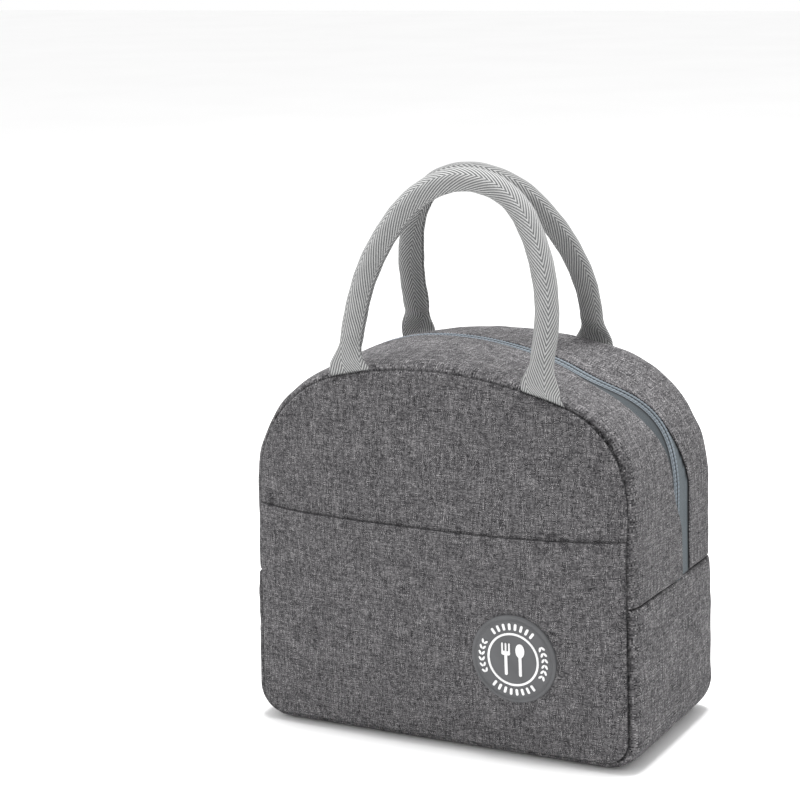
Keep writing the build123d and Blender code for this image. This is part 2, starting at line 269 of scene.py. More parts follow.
# ---- nodes ----
class Nodes:
    """Small helper that builds a material's node tree."""

    def __init__(self, name):
        self.material = bpy.data.materials.new(name)
        self.material.use_nodes = True
        self.tree = self.material.node_tree
        self.tree.nodes.clear()
        self.output = self.tree.nodes.new("ShaderNodeOutputMaterial")
        self.shader = self.tree.nodes.new("ShaderNodeBsdfPrincipled")
        self.tree.links.new(self.shader.outputs[0], self.output.inputs[0])

    def put(self, socket, value):
        if isinstance(value, bpy.types.NodeSocket):
            self.tree.links.new(value, socket)
        elif value is not None:
            socket.default_value = value

    def add(self, kind, inputs=(), output=0, **settings):
        node = self.tree.nodes.new(kind)
        for key, value in settings.items():
            setattr(node, key, value)
        for k, value in (inputs.items() if isinstance(inputs, dict) else enumerate(inputs)):
            self.put(node.inputs[k], value)
        return node.outputs[output]

    def math(self, operation, a, b=None, c=None):
        return self.add("ShaderNodeMath", [a, b, c], operation=operation)

    def times(self, a, b):
        return self.math("MULTIPLY", a, b)

    def plus(self, a, b):
        return self.math("ADD", a, b)

    def minus(self, a, b):
        return self.math("SUBTRACT", a, b)

    def wave(self, value, pitch):
        """A sine wave over a length, as long as pitch."""
        return self.math("SINE", self.times(value, 2 * math.pi / pitch))

    def mix(self, share, a, b):
        node = self.tree.nodes.new("ShaderNodeMix")
        node.data_type = "RGBA"
        for socket, value in ((node.inputs[0], share), (node.inputs[6], a), (node.inputs[7], b)):
            self.put(socket, value)
        return node.outputs[2]

    def ramp(self, value, stops):
        node = self.tree.nodes.new("ShaderNodeValToRGB")
        self.put(node.inputs[0], value)
        elements = node.color_ramp.elements
        while len(elements) < len(stops):
            elements.new(0.5)
        for element, (place, colour) in zip(elements, stops):
            element.position = place
            element.color = (*colour, 1)
        return node.outputs[0]

    def fabric(self):
        """Where a point is along and across the yarns, in millimetres, and how much painted shade it has at
        seams, folded edges and gaps.
        """
        vector = self.add("ShaderNodeAttribute", output="Vector", attribute_name="fabric")
        node = self.tree.nodes.new("ShaderNodeSeparateXYZ")
        self.put(node.inputs[0], vector)
        return node.outputs[0], node.outputs[1], node.outputs[2]

    def join(self, x, y, z=0.0):
        return self.add("ShaderNodeCombineXYZ", [x, y, z])

    def noise(self, vector, scale, detail=2.0, roughness=0.5):
        return self.add(
            "ShaderNodeTexNoise",
            {"Vector": vector, "Scale": scale, "Detail": detail, "Roughness": roughness},
        )

    def finish(self, colour, roughness, height=None, distance=0.0002, strength=1.0, **sockets):
        self.put(self.shader.inputs["Base Color"], colour)
        self.put(self.shader.inputs["Roughness"], roughness)
        for key, value in sockets.items():
            self.put(self.shader.inputs[key.replace("_", " ")], value)
        if height is not None:
            settings = {"Height": height, "Distance": distance, "Strength": strength}
            bump = self.add("ShaderNodeBump", settings)
            self.put(self.shader.inputs["Normal"], bump)
        return self.material


def streaks(n, run, row, seed):
    """Shade of a yarn: long slow changes and short flecks along it, different in each row."""
    offset = n.times(row, 7.31)
    slow = n.noise(n.join(n.times(run, 0.13), offset, seed), 1.0, 2.0, 0.6)
    fleck = n.noise(n.join(n.times(run, 0.55), offset, seed + 9.1), 1.0, 2.0, 0.6)
    return n.plus(n.times(slow, 0.45), n.times(fleck, 0.55))


def heather_cloth(name, dark, middle, light, fleck, yarn=0.6):
    """Plain weave of uneven two-tone yarns: each yarn's shade changes along its length."""
    n = Nodes(name)
    along, across, seam = n.fabric()
    weft_row = n.math("FLOOR", n.math("DIVIDE", across, yarn))
    warp_row = n.math("FLOOR", n.math("DIVIDE", along, yarn))
    slub = streaks(n, along, weft_row, 0.0)
    warp = streaks(n, across, warp_row, 31.7)
    over = n.math("FLOORED_MODULO", n.plus(weft_row, warp_row), 2.0)
    knit = n.times(n.minus(over, 0.5), n.minus(warp, slub))
    shade = n.plus(n.times(n.plus(slub, warp), 0.5), knit)
    cloud = n.join(n.times(along, 0.05), n.times(across, 0.08), 3.0)
    broad = n.noise(cloud, 1.0, 2.0, 0.5)
    shade = n.plus(shade, n.times(n.minus(broad, 0.5), 0.05))
    colour = n.ramp(shade, [(0.35, dark), (0.46, middle), (0.56, light), (0.70, fleck)])
    # Painted shade: the fabric's third value mixes in near-black in seam grooves, under folded edges and in
    # gaps.
    colour = n.mix(seam, colour, (0.006, 0.006, 0.007, 1))
    weft_wave = n.wave(across, yarn)
    warp_wave = n.wave(along, yarn)
    height = n.add("ShaderNodeMix", [over, None, weft_wave, warp_wave])
    height = n.plus(n.times(height, 0.35), n.times(shade, 2.2))
    gloss = {"Sheen_Weight": 0.03, "Sheen_Roughness": 0.5, "Specular_IOR_Level": 0.1}
    return n.finish(colour, 0.88, height, 0.00022, 0.9, **gloss)


def plain_cloth(name, colour, dark, pitch=0.6):
    """Fine plain weave in one colour."""
    n = Nodes(name)
    along, across, seam = n.fabric()
    a = n.wave(along, pitch)
    b = n.wave(across, pitch)
    weave = n.plus(n.times(n.times(a, b), 0.5), 0.5)
    speck = n.noise(n.join(along, across), 0.9, 3.0, 0.6)
    shade = n.plus(n.times(weave, 0.4), n.times(speck, 0.6))
    # Painted shade: the fabric's third value mixes in near-black in the zip tape's gaps and under the cloth's
    # folded edges.
    tone = n.mix(seam, n.ramp(shade, [(0.25, dark), (0.75, colour)]), (0.004, 0.004, 0.005, 1))
    return n.finish(tone, 0.8, weave, 0.00012, 0.8, Specular_IOR_Level=0.25)


def herringbone(name, dark, mid, light, along_pitch=3.1, across_pitch=1.5, spine_gap=22.0):
    """Webbing with steep ribs that meet in a V along spines."""
    n = Nodes(name)
    along, across, seam = n.fabric()
    place = n.math("FLOORED_MODULO", n.plus(across, 2 * spine_gap), spine_gap)
    from_spine = n.math("ABSOLUTE", n.minus(place, spine_gap / 2))
    turns = n.plus(n.math("DIVIDE", along, along_pitch), n.math("DIVIDE", from_spine, across_pitch))
    rib = n.plus(n.times(n.wave(turns, 1), 0.5), 0.5)
    rib = n.math("POWER", rib, 0.7)
    yarn = n.noise(n.join(n.times(along, 0.7), n.times(across, 0.7)), 1.0, 4.0, 0.65)
    shade = n.plus(n.times(rib, 0.7), n.times(yarn, 0.3))
    # Painted shade: the fabric's third value mixes in near-black at the feet in the seam, in the groove and
    # over the back handle.
    colour = n.mix(seam, n.ramp(shade, [(0.16, dark), (0.5, mid), (0.86, light)]), (0.012, 0.012, 0.013, 1))
    return n.finish(colour, 0.78, rib, 0.0006, 1.0, Sheen_Weight=0.15, Specular_IOR_Level=0.3)


def moulded(name, colour, roughness, grain=0.00004, scale=900.0, **sockets):
    """Moulded rubber or plastic with a fine grain."""
    n = Nodes(name)
    place = n.add("ShaderNodeTexCoord", output="Object")
    fine = n.noise(place, scale, 3.0, 0.6)
    cloudy = n.noise(place, 60.0, 3.0, 0.5)
    dark = tuple(c * 0.86 for c in colour)
    light = tuple(min(1.0, c * 1.12) for c in colour)
    tone = n.ramp(cloudy, [(0.3, dark), (0.7, light)])
    return n.finish(tone, roughness, fine, grain, 0.8, **sockets)


def crinkled_foil(name):
    """Laminated foil lining, with fine creases."""
    n = Nodes(name)
    along, across, _ = n.fabric()
    place = n.join(along, across)
    cells = {"Vector": place, "Scale": 0.09, "Randomness": 1.0}
    creases = n.add("ShaderNodeTexVoronoi", cells, feature="DISTANCE_TO_EDGE")
    fine = n.noise(place, 0.16, 5.0, 0.65)
    height = n.plus(n.times(n.math("SMOOTH_MIN", creases, 0.2, 0.1), 2.0), fine)
    tone = n.ramp(fine, [(0.3, (0.62, 0.63, 0.65)), (0.7, (0.80, 0.81, 0.82))])
    return n.finish(tone, 0.32, height, 0.0012, 0.8, Metallic=0.85)


CLOTH = heather_cloth(
    "heather_cloth",
    dark=(0.010, 0.010, 0.011),
    middle=(0.055, 0.053, 0.056),
    light=(0.146, 0.142, 0.146),
    fleck=(0.34, 0.33, 0.335),
)
WEBBING = herringbone("webbing", (0.085, 0.087, 0.09), (0.255, 0.26, 0.26), (0.43, 0.43, 0.425))
TAPE = plain_cloth("zip_tape", (0.115, 0.132, 0.142), (0.062, 0.075, 0.085))
COIL = moulded("zip_coil", (0.035, 0.04, 0.05), 0.4, grain=0.00002)
STITCH = plain_cloth("zip_stitch", (0.31, 0.345, 0.38), (0.17, 0.20, 0.235), pitch=0.5)
METAL = moulded("zip_metal", (0.10, 0.10, 0.105), 0.32, grain=0.00001, Metallic=0.9)
BADGE = moulded("badge_pvc", (0.072, 0.073, 0.077), 0.55, grain=0.00006)
EMBLEM = moulded("emblem_pvc", (0.72, 0.72, 0.72), 0.5)
FOAM = moulded("foam", (0.78, 0.78, 0.76), 0.9, grain=0.0003, scale=700.0)
FOIL = crinkled_foil("foil_lining")
BINDING = plain_cloth("seam_binding", (0.022, 0.022, 0.024), (0.012, 0.012, 0.013))
CORE = plain_cloth("core_cord", (0.6, 0.6, 0.58), (0.4, 0.4, 0.38), pitch=1.2)


def dress(obj, material, slot, *nodes):
    """Gives an object its material and hides the CAD nodes that the object replaces. slot is not used."""
    obj.data.materials.clear()
    obj.data.materials.append(material)
    if nodes:
        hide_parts(*nodes)


def outline_area():
    """Area inside the seam outline."""
    s, r = np.linspace(0, UPPER.length, 400), np.linspace(0, LOWER.length, 400)
    x, z = (np.concatenate([UPPER.at(s)[k], LOWER.at(r)[k]]) for k in (0, 1))
    return abs(np.dot(x, np.roll(z, 1)) - np.dot(z, np.roll(x, 1))) / 2


def sewn_sheet(area=None):
    """Changes the area of the flat cut, in mm, to square metres, and does nothing more with it."""
    area = None if area is None else area * MM**2


def bends_with(obj):
    """Bakes the transform of a piece of one half of the bag into its points."""
    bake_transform(obj)


def cloth_piece(obj, node, word, width, length, rests_on, area=None, thickness=CLOTH_THICKNESS):
    """The bag's cloth in place of a CAD node. Without the word of a half, it stays with the bag's body."""
    solidify(obj, thickness)
    dress(obj, CLOTH, "bag_cloth", node)
    sewn_sheet(area)
    if word is None:
        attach(obj, "bag_body")
    else:
        bends_with(obj)


# ---- front and back panels ----
PANEL_SEEDS = {"front": 11, "back": 23}  # of the soft unevenness
POCKET_OUT = 1.3  # how far the pocket lies outside the front panel
POCKET_SAG = 3.2


def side_meets():
    """Where a panel's four sides meet, in mid-corner: two lengths along each of the upper and lower rail."""
    upper_mid = [CORNER_Z - FOLD + CORNER_RADIUS * SWEEP * 0.5]
    upper_mid.append(UPPER.length - upper_mid[0])
    lower_mid = [FOLD - BASE_Z + BASE_RADIUS * math.pi / 4]
    lower_mid.append(LOWER.length - lower_mid[0])
    return upper_mid, lower_mid


def side_curves(us, vs, top=None):
    """Points of a panel's four sides: bottom and top at us, left and right at vs, each from 0 to 1."""
    upper_mid, lower_mid = side_meets()
    bottom = np.stack(LOWER.at(lower_mid[1] + us * (lower_mid[0] - lower_mid[1]))[:2], -1)

    def run(side, t):
        """From a bottom corner up to a top corner, or to the height of the pocket."""
        low = LOWER.length - lower_mid[1] if side < 0 else lower_mid[0]
        high = upper_mid[0] if top is None else top - FOLD
        s = t * (low + high)
        if side < 0:
            below = LOWER.at(np.clip(LOWER.length - low + s, 0, LOWER.length))
        else:
            below = LOWER.at(np.clip(low - s, 0, low))
        past_fold = np.clip(s - low, 0, None)
        above = UPPER.at(past_fold if side < 0 else UPPER.length - past_fold)
        keep = (s <= low)[:, None]
        return np.where(keep, np.stack(below[:2], -1), np.stack(above[:2], -1))

    left, right = run(-1, vs), run(1, vs)
    if top is None:
        s = upper_mid[0] + us * (upper_mid[1] - upper_mid[0])
        upper = np.stack(UPPER.at(s)[:2], -1)
    else:
        upper = np.stack([left[-1, 0] + us * (right[-1, 0] - left[-1, 0]), np.full(len(us), top)], -1)
    return bottom, upper, left, right


def coons(us, vs, top=None):
    """A grid that fills the seam outline, its rows and columns following the sides."""
    bottom, upper, left, right = side_curves(us, vs, top)
    u, v = us[None, :, None], vs[:, None, None]
    ruled = (1 - v) * bottom[None] + v * upper[None] + (1 - u) * left[:, None] + u * right[:, None]
    corners = (
        (1 - u) * (1 - v) * bottom[0] + u * (1 - v) * bottom[-1] + (1 - u) * v * upper[0] + u * v * upper[-1]
    )
    return ruled - corners


def outline_distance(x, z):
    """Distance from points inside the bag's outline to the seam."""
    s = np.linspace(0, UPPER.length, 500)
    r = np.linspace(0, LOWER.length, 500)
    line = np.concatenate([np.stack(UPPER.at(s)[:2], -1), np.stack(LOWER.at(r)[:2], -1)])
    points = np.stack([x.ravel(), z.ravel()], -1)
    best = np.full(len(points), 1e9)
    for k in range(0, len(points), 4000):
        chunk = points[k : k + 4000, None, :] - line[None]
        best[k : k + 4000] = np.sqrt((chunk**2).sum(-1)).min(1)
    return best.reshape(x.shape)


def panel_bulge(x, z):
    """How far a panel stands out from the seam plane: full in the middle, tight at its seams."""
    across = 1 - np.abs(x / HALF_WIDTH) ** 4
    height = (z - SEAM_BOTTOM) / (SEAM_TOP - SEAM_BOTTOM)
    up = 1 - np.abs(2 * height - 0.96) ** 3.2
    return 6.2 * np.clip(across, 0, 1) ** 0.8 * np.clip(up, 0, 1) ** 0.9


def puckers(x, z, d, seed):
    """Small gathers along a seam, and soft unevenness further in."""
    near = np.exp(-d / 9.0) * (1 - np.exp(-d / 1.2))
    return near * ripple(x, z, seed, 17.0, 0.38) + ripple(x, z, seed + 1, 95.0, 0.42) * smooth(d, 2, 25)


def panel_sheet(name, side, inset=0.0, out=0.0, top=None, step=2.0, seed=3):
    """A front or back panel: a sheet that fills the seam outline, bulges and turns in at the seams."""
    us = spaced(2 * HALF_WIDTH, step) / (2 * HALF_WIDTH)
    height = SEAM_TOP - SEAM_BOTTOM if top is None else top - SEAM_BOTTOM
    vs = spaced(height, step, ends=top is None)
    if top is not None:  # a hem
        vs = np.append(vs[vs < height - 2.2], [height - 1.6, height - 0.8, height])
    xz = coons(us, vs / height, top)
    d = outline_distance(xz[..., 0], xz[..., 1])
    x, z = xz[..., 0] * (1 - inset / HALF_WIDTH), (xz[..., 1] - 100) * (1 - inset / 100) + 100
    stand = lip(d) if inset == 0 else 0.0
    y = HALF_DEPTH + out + stand + panel_bulge(x, z) + puckers(x, z, d, seed)
    points = np.stack([x, side * y, z], -1)
    shade = seam_shade(d)
    # Painted shade: a dark line along the top edge of the pocket's hem.
    if top is not None:
        shade = np.maximum(shade, 0.7 * smooth(z, top - 0.8, top - 0.3))
    fabric = np.stack([x, z, shade], -1)
    return grid(name, points, fabric, flip=side > 0)


def panel(word, side):
    obj = panel_sheet(f"{word}_cloth", side, seed=PANEL_SEEDS[word])
    flat = (2 * HALF_WIDTH, SEAM_TOP - SEAM_BOTTOM)
    cloth_piece(obj, f"{word}_panel", word, *flat, f"{word}_foam_board", outline_area())


def sag_mouth(places):
    """Lets the pocket's mouth hang down a little between the side seams."""
    share = np.clip((places[:, 2] - SEAM_BOTTOM) / (POCKET_TOP - SEAM_BOTTOM), 0, 1)
    places[:, 2] -= POCKET_SAG * (1 - np.abs(places[:, 0] / HALF_WIDTH) ** 3) * share**3
    return places


def build_pocket():
    pocket = panel_sheet("front_pocket_cloth", -1, out=POCKET_OUT, top=POCKET_TOP, seed=PANEL_SEEDS["front"])
    move_points(pocket, sag_mouth)
    flat = (2 * HALF_WIDTH, POCKET_TOP - SEAM_BOTTOM)
    cloth_piece(pocket, "front_pocket", "front", *flat, "front_cloth", thickness=1.1)


# ---- gusset ----
YARN_STRETCH = (0.6, 0.85)  # the yarns look coarser here than on the panels


def crown(y):
    """How far the gusset stands out from the seam outline at a depth y: it rolls over close to the seams."""
    return GUSSET_RISE * np.sqrt(np.clip(1 - np.abs(y / HALF_DEPTH) ** 14.0, 0, 1))


def gusset_points(rail, s, y, out):
    x, z, nx, nz = rail.at(s)
    return np.stack([x + nx * out, y, z + nz * out], -1)


def across_cloth(points):
    """Distance across a strip, measured along the cloth."""
    steps = np.linalg.norm(np.diff(points, axis=1), axis=2)
    return np.concatenate([np.zeros((len(points), 1)), np.cumsum(steps, 1)], 1)


def zip_line(s):
    """Depth of the zip's centre along the top: it wanders, and lies further back round the right corner."""
    from_end = UPPER.length - s
    back = (4.0 + 6.0 * smooth(from_end, 170, 215)) * (1 - smooth(from_end, 240, 330))
    return back + 6.0 * bell(from_end, 88, 22) - 6.5 * bell(from_end, 132, 18)


def zip_edge(side, s):
    """Depth of the gusset cloth's folded edge beside the zip. The front edge draws back round the right
    corner, where it shows the tape, and then runs over the teeth; the back edge draws back below it."""
    from_end = UPPER.length - s
    if side < 0:
        return zip_line(s) - 4.6 - 13.0 * bell(from_end, 102, 23) + 9.5 * (1 - smooth(from_end, 28, 60))
    return zip_line(s) + 3.7 + 15.5 * (1 - smooth(from_end, 50, 92))


def upper_gusset(word, side):
    """One half of the cloth over the top: from the panel's seam to a folded edge beside the zip."""
    s = spaced(UPPER.length, 2.0)
    seam_side = np.array([*SEAM_STEPS, 6.5])
    # Rows of points round the folded edge: how far they lie from it, and how far they turn down.
    edge_side = np.array([1.4, 0.7, 0.2, 0.0, 0.15, 0.9])
    edge_tuck = [0.0, 0.08, 0.3, 0.8, 1.2, 1.45]
    first, last, columns = 8.5, 2.2, 24  # the rows between the seam and the edge
    width = HALF_DEPTH - side * zip_edge(side, s)
    middle = first + (width[:, None] - last - first) * np.linspace(0, 1, columns)[None]
    from_seam = np.concatenate(
        [np.repeat(seam_side[None], len(s), 0), middle, width[:, None] - edge_side[None]], 1
    )
    tuck = np.concatenate([np.zeros(len(seam_side) + columns), edge_tuck])
    y = side * (HALF_DEPTH - from_seam)
    ss = np.repeat(s[:, None], from_seam.shape[1], 1)
    ends = np.minimum(ss, UPPER.length - ss)
    covering = (1 - smooth(UPPER.length - ss, 30, 60)) * smooth(from_seam, 30, 58) * (side < 0)
    out = crown(y) + lip(from_seam) - 0.8 - tuck
    out += np.minimum(lip(ends) - 0.8, 0) + puckers(ss, y, from_seam, 31 if side < 0 else 37) * 0.8
    out += 1.3 * covering
    points = gusset_points(UPPER, ss, y, out)
    points[..., 2] += SIDE_SEAM_LIFT * (1 - smooth(points[..., 2], FOLD, 130)) * (points[..., 0] > 0)
    shade = np.maximum(seam_shade(from_seam), seam_shade(ends))
    # Painted shade under the folded edge beside the zip, on its turned-down rows.
    shade = np.maximum(shade, np.repeat((tuck > 0.7)[None], len(s), 0) * 0.8)
    fabric = np.stack([YARN_STRETCH[0] * across_cloth(points), YARN_STRETCH[1] * ss, shade], -1)
    obj = grid(f"zip_gusset_{word}_cloth", points, fabric, flip=side < 0)
    flat = (float(width.mean()), UPPER.length)
    cloth_piece(obj, f"zip_gusset_{word}", word, *flat, f"{word}_top_foam")


def base_gusset():
    """Both sides and the base in one strip, seamed to the panels and to the cloth above."""
    s = spaced(LOWER.length, 2.0)
    y = spaced(2 * HALF_DEPTH, 3.0) - HALF_DEPTH
    ss, yy = np.meshgrid(s, y, indexing="ij")
    from_seam = HALF_DEPTH - np.abs(yy)
    ends = np.minimum(ss, LOWER.length - ss)
    side_part = 1 - smooth(ends, FOLD - BASE_Z, FOLD - BASE_Z + 20)
    out = crown(yy) + lip(from_seam) - 0.8
    out += np.minimum(lip(ends) - 0.8, 0) + 0.9 * side_part * (1 - np.exp(-ends / 3))
    out += puckers(ss, yy, from_seam, 41) * 0.8 * side_part
    points = gusset_points(LOWER, ss, yy, out)
    points[..., 2] = np.maximum(points[..., 2], 0.05)
    points[..., 2] += SIDE_SEAM_LIFT * smooth(points[..., 2], 40, FOLD) * (points[..., 0] > 0)
    shade = np.maximum(seam_shade(from_seam), seam_shade(ends))
    fabric = np.stack([YARN_STRETCH[0] * across_cloth(points), YARN_STRETCH[1] * ss, shade], -1)
    obj = grid("base_gusset_cloth", points, fabric, flip=True)
    cloth_piece(obj, "base_gusset", None, 2 * HALF_DEPTH, LOWER.length, "base_foam")


# ---- zip ----
COIL_PITCH = 1.35
COIL_OUT = 3.3  # height of the middle of the teeth above the seam outline
STITCH_ROWS = (0.95, 2.1, 3.3)  # distances from the middle of the zip
STITCH_LENGTH = 1.6 * COIL_PITCH
THREAD_RADIUS = 0.26
# Rows of points across the tape, from its outer edge to the middle of the zip.
TAPE_ROWS = [23, 20, 17, 14, 11, 8, 6, 5.2, 4.6, 4.1, 3.7, 3.4, 3, 2.6, 1.8, 1, 0.6, 0.42, 0.28]


def tape_height(across, side):
    """Outer face of the tape: raised over the teeth, and turned down where the two sides meet."""
    over_teeth = 1 - smooth(across, 2.6, 3.4)
    step = 0.28 if side < 0 else 0.0
    return 4.15 + (0.6 - step) * over_teeth - 1.2 * (1 - smooth(across, 0.28, 0.6))


def zip_tape(word, side):
    """Woven tape, outer face up: from under the gusset cloth to the middle of the zip, over the teeth."""
    s = np.linspace(0.5, UPPER.length - 0.5, 220)
    ss, aa = np.meshgrid(s, TAPE_ROWS, indexing="ij")
    out = tape_height(aa, side) - 0.5 * smooth(aa, 5.0, 12.0)
    y = zip_line(ss) + side * aa
    points = gusset_points(UPPER, ss, y, out)
    # Painted shade: near-black in the gap where the two tapes meet in the middle.
    shade = 1 - smooth(aa, 0.3, 0.7)
    # Painted shadow on the back tape under the back cloth's folded edge.
    if side > 0:
        shade = np.maximum(shade, smooth(y, zip_edge(1, ss) - 1.3, zip_edge(1, ss) - 0.2))
    else:  # the front tape lies in the shade of the cloth beside it
        # Painted shade: the front tape is darkened as a whole, and a near-black line runs in the groove just in
        # front of the teeth.
        shade = np.maximum(shade, 0.45 * smooth(aa, 4.0, 5.0))
        shade = np.maximum(shade, 0.98 * bell(aa, 4.9, 1.5))
    fabric = np.stack([aa, ss, shade], -1)
    obj = grid(f"zipper_tape_{word}_weave", points, fabric, flip=side < 0)
    solidify(obj, 0.45)
    dress(obj, TAPE, "zip_tape", f"zipper_tape_{word}")
    bends_with(obj)


def zip_coil(word, side):
    """One side's teeth: a flattened spiral of nylon under the tape, locked into the other side's."""
    start, end = 4.0, UPPER.length - 4.0
    turns = int((end - start) / COIL_PITCH)
    per_turn, ring, strand_radius = 10, 5, 0.28
    t = np.arange(turns * per_turn + 1) / per_turn
    shift = 0.0 if side < 0 else COIL_PITCH / 2
    s = start + t * COIL_PITCH + shift
    a = 2 * math.pi * t
    reach, rise = 1.6, 0.62
    y = zip_line(s) + side * (1.1 + reach * np.cos(a))
    out = COIL_OUT + rise * np.sin(a)
    centre = gusset_points(UPPER, s, y, out)
    nx, nz = UPPER.at(s)[2:]
    from_axis = np.stack([nx * np.sin(a), side * np.cos(a), nz * np.sin(a)], -1)
    points = tube(centre, strand_radius, ring, from_axis)
    obj = grid(f"zipper_coil_{word}_teeth", points, None, ring=True, caps=True)
    dress(obj, COIL, "zip_coil", f"zipper_coil_{word}")
    bends_with(obj)


def zip_stitches(word, side):
    """Rows of thread that sew the teeth to their tape."""
    points, faces, fabric = [], [], []
    s = np.arange(5.0, UPPER.length - 5.0, 0.45)
    nx, nz = UPPER.at(s)[2:]
    wave = 0.5 + 0.5 * np.cos(2 * math.pi * s / STITCH_LENGTH)
    for offset in STITCH_ROWS:
        out = tape_height(np.array(offset), side) - 0.22 + 0.34 * wave
        centre = gusset_points(UPPER, s, zip_line(s) + side * offset, out)
        rings = tube(centre, THREAD_RADIUS, 5, np.stack([nx, 0 * nx, nz], -1))
        base = len(points)
        points.extend(rings.reshape(-1, 3).tolist())
        faces.extend([tuple(k + base for k in f) for f in grid_faces(len(s), 5, ring=True)])
        along = np.repeat(s, 5)
        fabric.extend(np.stack([along, np.tile(np.arange(5) * 0.3, len(s)), 0 * along], -1).tolist())
    obj = make_object(f"zipper_stitching_{word}", points, faces, fabric)
    dress(obj, STITCH, "zip_tape")
    bends_with(obj)


# ---- handles ----
HANDLE_FOOT_X = 58.0
HANDLE_LEG = 26.5
HANDLE_SIDE_RADIUS = 106.0
HANDLE_TOP_RADIUS = 46.0
HINGE_HEIGHT = SEAM_TOP - 3.0
HANDLE_OUT = 3.1  # how far the feet stand outside the seam
IN_SEAM = 12.0  # length of webbing below the hinge, down into the seam
FOOT_HALF_WIDTH, FOOT_HALF_THICKNESS = 12.0, 0.9
TUBE_HALF_WIDTH, TUBE_HALF_THICKNESS = 6.7, 6.2
WEBBING_RING = 64  # points round the webbing
OVERLAP = 1.5 * math.pi  # where the edges of the webbing meet, as an angle round the tube
CORE_RADIUS, CORE_RING = 4.2, 20
CORE_LOW = 17  # height of the ends of the core above the hinge


def handle_centre(side, lean, shift, skew):
    """The handle's centre line, the direction across it, and its height above the hinge, along its length."""
    turn = math.acos((HANDLE_SIDE_RADIUS - HANDLE_FOOT_X) / (HANDLE_SIDE_RADIUS - HANDLE_TOP_RADIUS))
    leg, bow = ("line", HANDLE_LEG + IN_SEAM, 0), ("arc", HANDLE_SIDE_RADIUS, -turn)
    top = ("arc", HANDLE_TOP_RADIUS, -(math.pi - 2 * turn))
    rail = Rail((-HANDLE_FOOT_X, -IN_SEAM), math.pi / 2, [leg, bow, top, bow, leg])
    s = np.linspace(0, rail.length, 460)
    x, h, nx, nh = rail.at(s)
    tilt = math.radians(lean)
    up = np.maximum(h, 0)
    depth = HALF_DEPTH + HANDLE_OUT - h * math.sin(tilt)
    z = HINGE_HEIGHT + h * math.cos(tilt)
    narrow = 1 - np.where(x < 0, 0.03, -0.018) * smooth(h, 0, 40)  # the left leg stands in, the right one out
    centre = np.stack([x * narrow + shift + skew * up * np.clip(up / 110, 0, 1), side * depth, z], -1)
    return s, centre, np.stack([nx, 0 * nx, nh], -1), h


def handle_directions(centre, outward, side):
    """Unit directions across a handle: outward in its own plane, and facing out of it."""
    tangent = np.gradient(centre, axis=0)
    tangent /= np.linalg.norm(tangent, axis=1, keepdims=True)
    outward = outward - (outward * tangent).sum(1, keepdims=True) * tangent
    outward /= np.linalg.norm(outward, axis=1, keepdims=True)
    facing = np.cross(outward, tangent)
    facing *= np.sign((facing[:, 1] * side))[:, None]
    return outward, facing


def arch_height(x):
    """Height of the seam line at a distance x from the middle."""
    s = np.linspace(0, UPPER.length, 600)
    rail_x, rail_z = UPPER.at(s)[:2]
    return np.interp(x, rail_x, rail_z)


def webbing_fabric(s, outer, around, groove, side):
    """Along and round the webbing in millimetres, and the painted shade at its feet, in its groove and over the
    whole back handle.
    """
    steps = np.linalg.norm(np.diff(outer, axis=1, append=outer[:, :1]), axis=2)
    wrap = np.cumsum(steps, 1) - steps
    wrap = np.where(around[None] > OVERLAP, wrap - steps.sum(1, keepdims=True), wrap)
    above = outer[..., 2] - arch_height(outer[..., 0])
    fabric = np.zeros(outer.shape)
    fabric[..., 0] = s[:, None]
    fabric[..., 1] = wrap + 7.5
    fabric[..., 2] = np.maximum(1 - smooth(above, 0.2, 1.2), 0.7 * groove)
    # Painted shade: the whole back handle is darkened a little, for the shade it stands in.
    if side > 0:  # the back handle is darker
        fabric[..., 2] = np.maximum(fabric[..., 2], 0.22)
    return fabric.reshape(-1, 3)


def two_layer_faces(rows, ring):
    """Faces of a tube with an outer and an inner layer, joined at both ends."""
    count = rows * ring
    faces = grid_faces(rows, ring, ring=True)
    faces += [tuple(k + count for k in f[::-1]) for f in faces]
    for first in (0, count - ring):
        for j in range(ring):
            k = (j + 1) % ring
            faces.append((first + j, first + k, first + k + count, first + j + count))
    return faces


def handle_cord(word, s, centre, outward):
    """The core that rounds the handle, inside its webbing."""
    points = tube(centre, CORE_RADIUS, CORE_RING, outward)
    around = np.tile(np.arange(CORE_RING) * 1.3, len(s))
    fabric = np.stack([np.repeat(s, CORE_RING), around, 0 * around], -1)
    obj = grid(f"{word}_handle_cord", points, fabric, ring=True, caps=True)
    dress(obj, CORE, "core", f"{word}_handle_core")
    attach(obj, f"{word}_handle")


